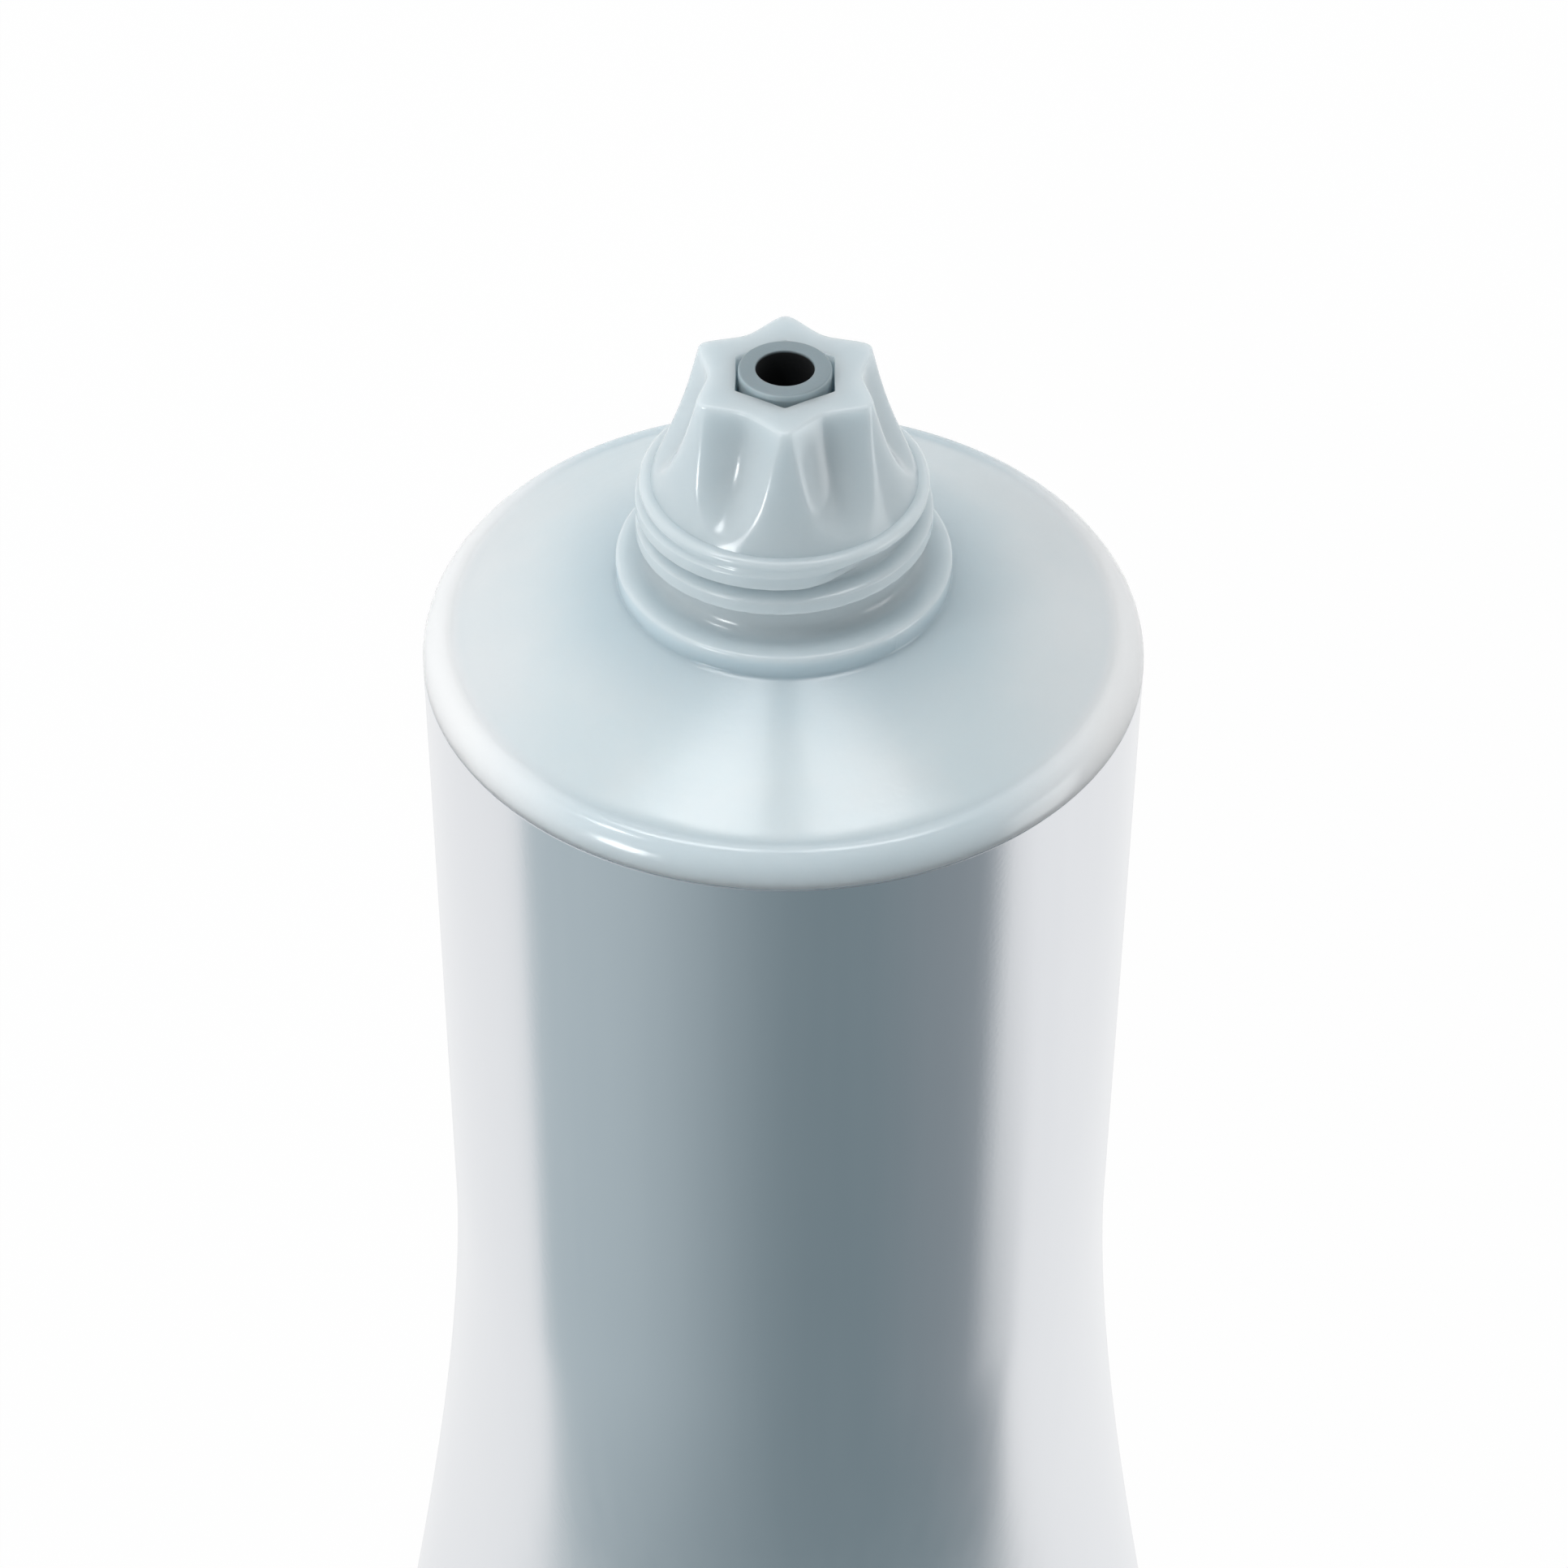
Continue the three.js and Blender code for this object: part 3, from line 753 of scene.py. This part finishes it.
def outerSleeve():
    # Sections from the slit's bottom up the inside to the joint, then down the outside to the end.
    end = tube["sleeveLength"]
    edge = sleeve["edgeRadius"]
    radius = tube["sleeveRadius"]
    joint = sleeve["jointGap"]
    columns = sleeve["columns"]
    depths = np.concatenate([
        [joint, joint + sleeve["jointEdge"]],
        np.linspace(1, sleeve["roundLength"], sleeve["roundRows"]),
        np.linspace(sleeve["roundLength"], sealStart, sleeve["pressedRows"])[1:],
        np.linspace(sealStart, end - edge, sleeve["sealRows"])[1:],
        [end],
    ])
    x, y, sink = sleeveSurface(radius, sleeve["sealHalf"], depths)
    y = crimp(y, depths)
    x[0] *= 1 - sleeve["jointEdge"] / radius
    y[0] *= 1 - sleeve["jointEdge"] / radius
    y[-1] *= 1 - edge / sleeve["sealHalf"]
    outside = toRow(x, y - sink, -allRound(depths, columns))

    # Inside, the film narrows to the slit that holds the flattened inner sleeve in the seal.
    depths = np.concatenate([
        [joint], np.linspace(sleeve["roundLength"], sealStart, sleeve["insideRows"]),
    ])
    x, y, sink = sleeveSurface(radius - sleeve["wall"], sleeve["slitHalf"], depths)
    inside = toRow(x, y - sink, -allRound(depths, columns))
    slitWidth = (sleeve["slitHalf"] + np.pi * (sleeve["innerRadius"] - sleeve["slitHalf"]) / 2
                 + sleeve["slitSide"])
    x, y = flatBar(slitWidth, sleeve["slitHalf"], columns)
    slitEnd = end - sleeve["slitInset"]
    depths = np.array([slitEnd, slitEnd, sealStart + sleeve["slitStart"]])
    share = np.array([sleeve["capShare"], 1, 1])[:, None]
    fullSink = radius - sleeve["sealHalf"]
    slit = toRow(x * share, y * share - fullSink, -allRound(depths, columns))
    tail = blendTo(outside[-1].mean(axis=0), outside[-1], sleeve["capShare"])[None]
    return cappedGrid("outerSleeveFilm", np.concatenate([slit, inside[::-1], outside, tail]))


dress(outerSleeve(), finishes["silver"], "outer_sleeve")
print("outer sleeve made")

# Inner head, of which the nozzle shows inside the star opening

inner = {
    "columns": 192,
    "nozzleRadius": 2.37, "boreRadius": 1.49, "nozzleEdge": 0.14, "footFillet": 1.1,
    "shoulderWall": 1.0, "skirtLength": 3.2, "skirtRadius": 12.05, "skirtBore": 11.15,
    "rimRadius": 12.5, "rimDepth": 0.8, "channelHeight": 2.0,
    "finCount": 6, "finHalf": 0.4, "finInner": 4.6, "finOuter": 11.2, "finHeight": 1.87,
    "finEnd": 0.02, "onTop": 0.01, "step": 1.2,
    "footRows": 7, "edgeRows": 6, "boreEdgeRows": 4,
}


def innerHead():
    def onShoulder(radius, drop=0):
        # A point of the outline at this radius, on the shoulder's top or that far below it.
        return [radius, shoulderUnderside(radius) - inner["channelHeight"] - drop]

    wall = inner["shoulderWall"] * shoulderSteep
    rim = onShoulder(inner["rimRadius"])
    rimHeight = rim[1] - inner["rimDepth"]
    skirtFoot = rimHeight - inner["skirtLength"]
    edge = inner["nozzleEdge"]
    fillet = inner["footFillet"]
    nozzleTop = tube["nozzleHeight"]
    nozzleFoot = onShoulder(inner["nozzleRadius"])
    foot = arc((nozzleFoot[0] + fillet, nozzleFoot[1] + fillet), (fillet, fillet),
               180, 246, inner["footRows"])
    outline = densified(np.concatenate([
        [onShoulder(inner["boreRadius"], wall), onShoulder(inner["skirtBore"], wall),
         [inner["skirtBore"], skirtFoot], [inner["skirtRadius"], skirtFoot],
         [inner["skirtRadius"], rimHeight], [inner["rimRadius"], rimHeight], rim,
         onShoulder(inner["finOuter"] + inner["finEnd"]), onShoulder(inner["finOuter"]),
         onShoulder(inner["finInner"]), onShoulder(inner["finInner"] - inner["finEnd"])],
        foot[::-1],
        arc((inner["nozzleRadius"] - edge, nozzleTop - edge), (edge, edge),
            0, 90, inner["edgeRows"]),
        arc((inner["boreRadius"] + edge / 2, nozzleTop - edge / 2), (edge / 2, edge / 2),
            90, 180, inner["boreEdgeRows"]),
        [onShoulder(inner["boreRadius"], wall)],
    ]), inner["step"])[:-1]
    radius = allRound(outline[:, 0], inner["columns"])
    height = allRound(outline[:, 1], inner["columns"])

    # Fins stand on the shoulder's top and hold the outer shoulder off it.
    angle = np.linspace(0, 2 * np.pi, inner["columns"], endpoint=False)
    onTop = ((np.abs(height - onShoulder(radius)[1]) < inner["onTop"])
             & (radius <= inner["finOuter"]) & (radius >= inner["finInner"]))
    apart = 2 * np.pi / inner["finCount"]
    across = radius * np.abs((angle + apart / 2) % apart - apart / 2)
    height = height + inner["finHeight"] * (onTop & (across < inner["finHalf"]))
    return turned("innerNozzle", radius, height, angle)


dress(innerHead(), finishes["grey"], "inner_head")

# The inner sleeve is hidden, and keeps its plain solid.
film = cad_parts["inner_sleeve"]
film.data.materials.clear()
film.data.materials.append(finishes["pale"].material)
print("inner pieces made")

# Surroundings

surroundings = {
    "floorTone": 0.9,
    "floorRoughness": 0.8,
    "floorGlow": 0.985,
    "floorSize": 1.6,
}


def whiteFloor():
    # Seen by the camera or in a mirror, the floor is mostly plain white, and keeps part of the
    # shadow. Other light meets a plain pale surface.
    size = surroundings["floorSize"] / 2
    mesh = bpy.data.meshes.new("floor")
    corners = [(-size, -size, 0), (size, -size, 0), (size, size, 0), (-size, size, 0)]
    mesh.from_pydata(corners, [], [(0, 1, 2, 3)])
    floor = bpy.data.objects.new("floor", mesh)
    bpy.context.scene.collection.objects.link(floor)
    material = bpy.data.materials.new("floor")
    material.use_nodes = True
    nodes = Nodes(material.node_tree)
    tone = surroundings["floorTone"]
    shader = material.node_tree.nodes["Principled BSDF"]
    shader.inputs["Base Color"].default_value = (tone, tone, tone, 1)
    shader.inputs["Roughness"].default_value = surroundings["floorRoughness"]
    shader.inputs["Specular IOR Level"].default_value = 0
    glow = nodes.add("ShaderNodeEmission", "Emission", None,
                     {"Color": (1, 1, 1, 1), "Strength": 1.0})
    seen = nodes.add("ShaderNodeLightPath", "Is Camera Ray")
    mirrored = nodes.add("ShaderNodeLightPath", "Is Glossy Ray")
    through = nodes.add("ShaderNodeLightPath", "Is Transmission Ray")
    share = (seen + mirrored + through).maths("MINIMUM", 1.0) * surroundings["floorGlow"]
    plain = Wire(nodes.tree, shader.outputs[0])
    blend = nodes.add("ShaderNodeMixShader", "Shader", None, {0: share, 1: plain, 2: glow})
    output = material.node_tree.nodes["Material Output"]
    nodes.tree.links.new(blend.socket, output.inputs["Surface"])
    mesh.materials.append(material)


whiteFloor()

# The sky is a set of tones by direction: x runs across the tube, y to its tail and z up. Left
# and right are those of the picture, and left is +X. Behind the tail the sky is dark, which the
# sleeve's middle shows between two bright sides.
sky = {
    "overhead": (0.15, 0.165, 0.17, 1),
    "nozzleLeft": (0.42, 0.45, 0.47, 1),
    "nozzleRight": (0.16, 0.17, 0.18, 1),
    "sideLeft": (1.0, 1.0, 1.0, 1),
    "sideRight": (0.8, 0.8, 0.8, 1),
    "middle": (0.215, 0.275, 0.3, 1),
    "left": (0.52, 0.6, 0.63, 1),
    "right": (0.27, 0.31, 0.335, 1),
    "white": (1.0, 1.0, 1.0, 1),
}
# Where each tone comes in, by one part of the direction
skyEdges = {
    "nozzleLeft": (-0.5, 0.5),
    "nozzle": (0.05, -0.55),
    "sideLeft": (0.45, 0.9),
    "sideRight": (-0.45, -0.9),
    "left": (-0.15, 0.8),
    "right": (-0.3, -0.65),
    "tail": (0.2, 0.55),
    "lowBand": (0.26, 0.12),
    "lowBandSide": (-0.55, -0.75),
}


def paintSky():
    world = bpy.context.scene.world or bpy.data.worlds.new("sky")
    bpy.context.scene.world = world
    world.use_nodes = True
    nodes = Nodes(world.node_tree)
    place = nodes.add("ShaderNodeTexCoord", "Generated")
    x, y, z = (nodes.add("ShaderNodeSeparateXYZ", k, None, {0: place}) for k in range(3))

    def within(part, edge):
        return nodes.stepUp(part, *skyEdges[edge])

    ahead = nodes.mix(within(x, "nozzleLeft"), sky["nozzleRight"], sky["nozzleLeft"])
    front = nodes.mix(within(y, "nozzle"), sky["overhead"], ahead)
    front = nodes.mix(within(x, "sideLeft"), front, sky["sideLeft"])
    front = nodes.mix(within(x, "sideRight"), front, sky["sideRight"])
    back = nodes.mix(within(x, "left"), sky["middle"], sky["left"])
    back = nodes.mix(within(x, "right"), back, sky["right"])
    tone = nodes.mix(within(y, "tail"), front, back)
    # A low bright band on the -X side shows in the sleeve's right flank.
    low = within(z, "lowBand") * within(x, "lowBandSide")
    tone = nodes.mix(low, tone, sky["white"])
    # The camera itself sees plain white behind everything.
    seen = nodes.add("ShaderNodeLightPath", "Is Camera Ray")
    tone = nodes.mix(seen, tone, sky["white"])
    background = world.node_tree.nodes["Background"]
    nodes.tree.links.new(tone.socket, background.inputs["Color"])
    background.inputs["Strength"].default_value = 1.0


paintSky()

# Lamps: place, aim, width, height in metres, and power in watts. The first two make the bright
# bands on the shoulder, the next two the highlights on the nozzle's left, and the last one
# lights its right side.
lamps = {
    "shoulderLeft": ((0.042, -0.235, 0.022), (0.02, -0.062, 0.03), 0.066, 0.042, 0.055),
    "shoulderRight": ((-0.038, -0.235, 0.022), (-0.018, -0.062, 0.03), 0.058, 0.042, 0.044),
    "keyLeft": ((0.21, -0.34, 0.13), (0, -0.06, 0.03), 0.05, 0.05, 0.15),
    "highLeft": ((0.144, -0.084, 0.168), (0, -0.064, 0.03), 0.045, 0.045, 0.125),
    "lowRight": ((-0.23, -0.02, 0.07), (0, -0.05, 0.02), 0.16, 0.1, 0.12),
}


def hangLamp(name, place, aim, width, height, power):
    light = bpy.data.lights.new(name, "AREA")
    light.shape = "RECTANGLE"
    light.size = width
    light.size_y = height
    light.energy = power
    lamp = bpy.data.objects.new(name, light)
    lamp.location = place
    lamp.rotation_mode = "QUATERNION"
    lamp.rotation_quaternion = (Vector(aim) - Vector(place)).to_track_quat("-Z", "Y")
    lamp.visible_camera = False
    bpy.context.scene.collection.objects.link(lamp)


for name, values in lamps.items():
    hangLamp(name, *values)

bpy.context.scene.view_settings.view_transform = "Standard"
print("surroundings made")
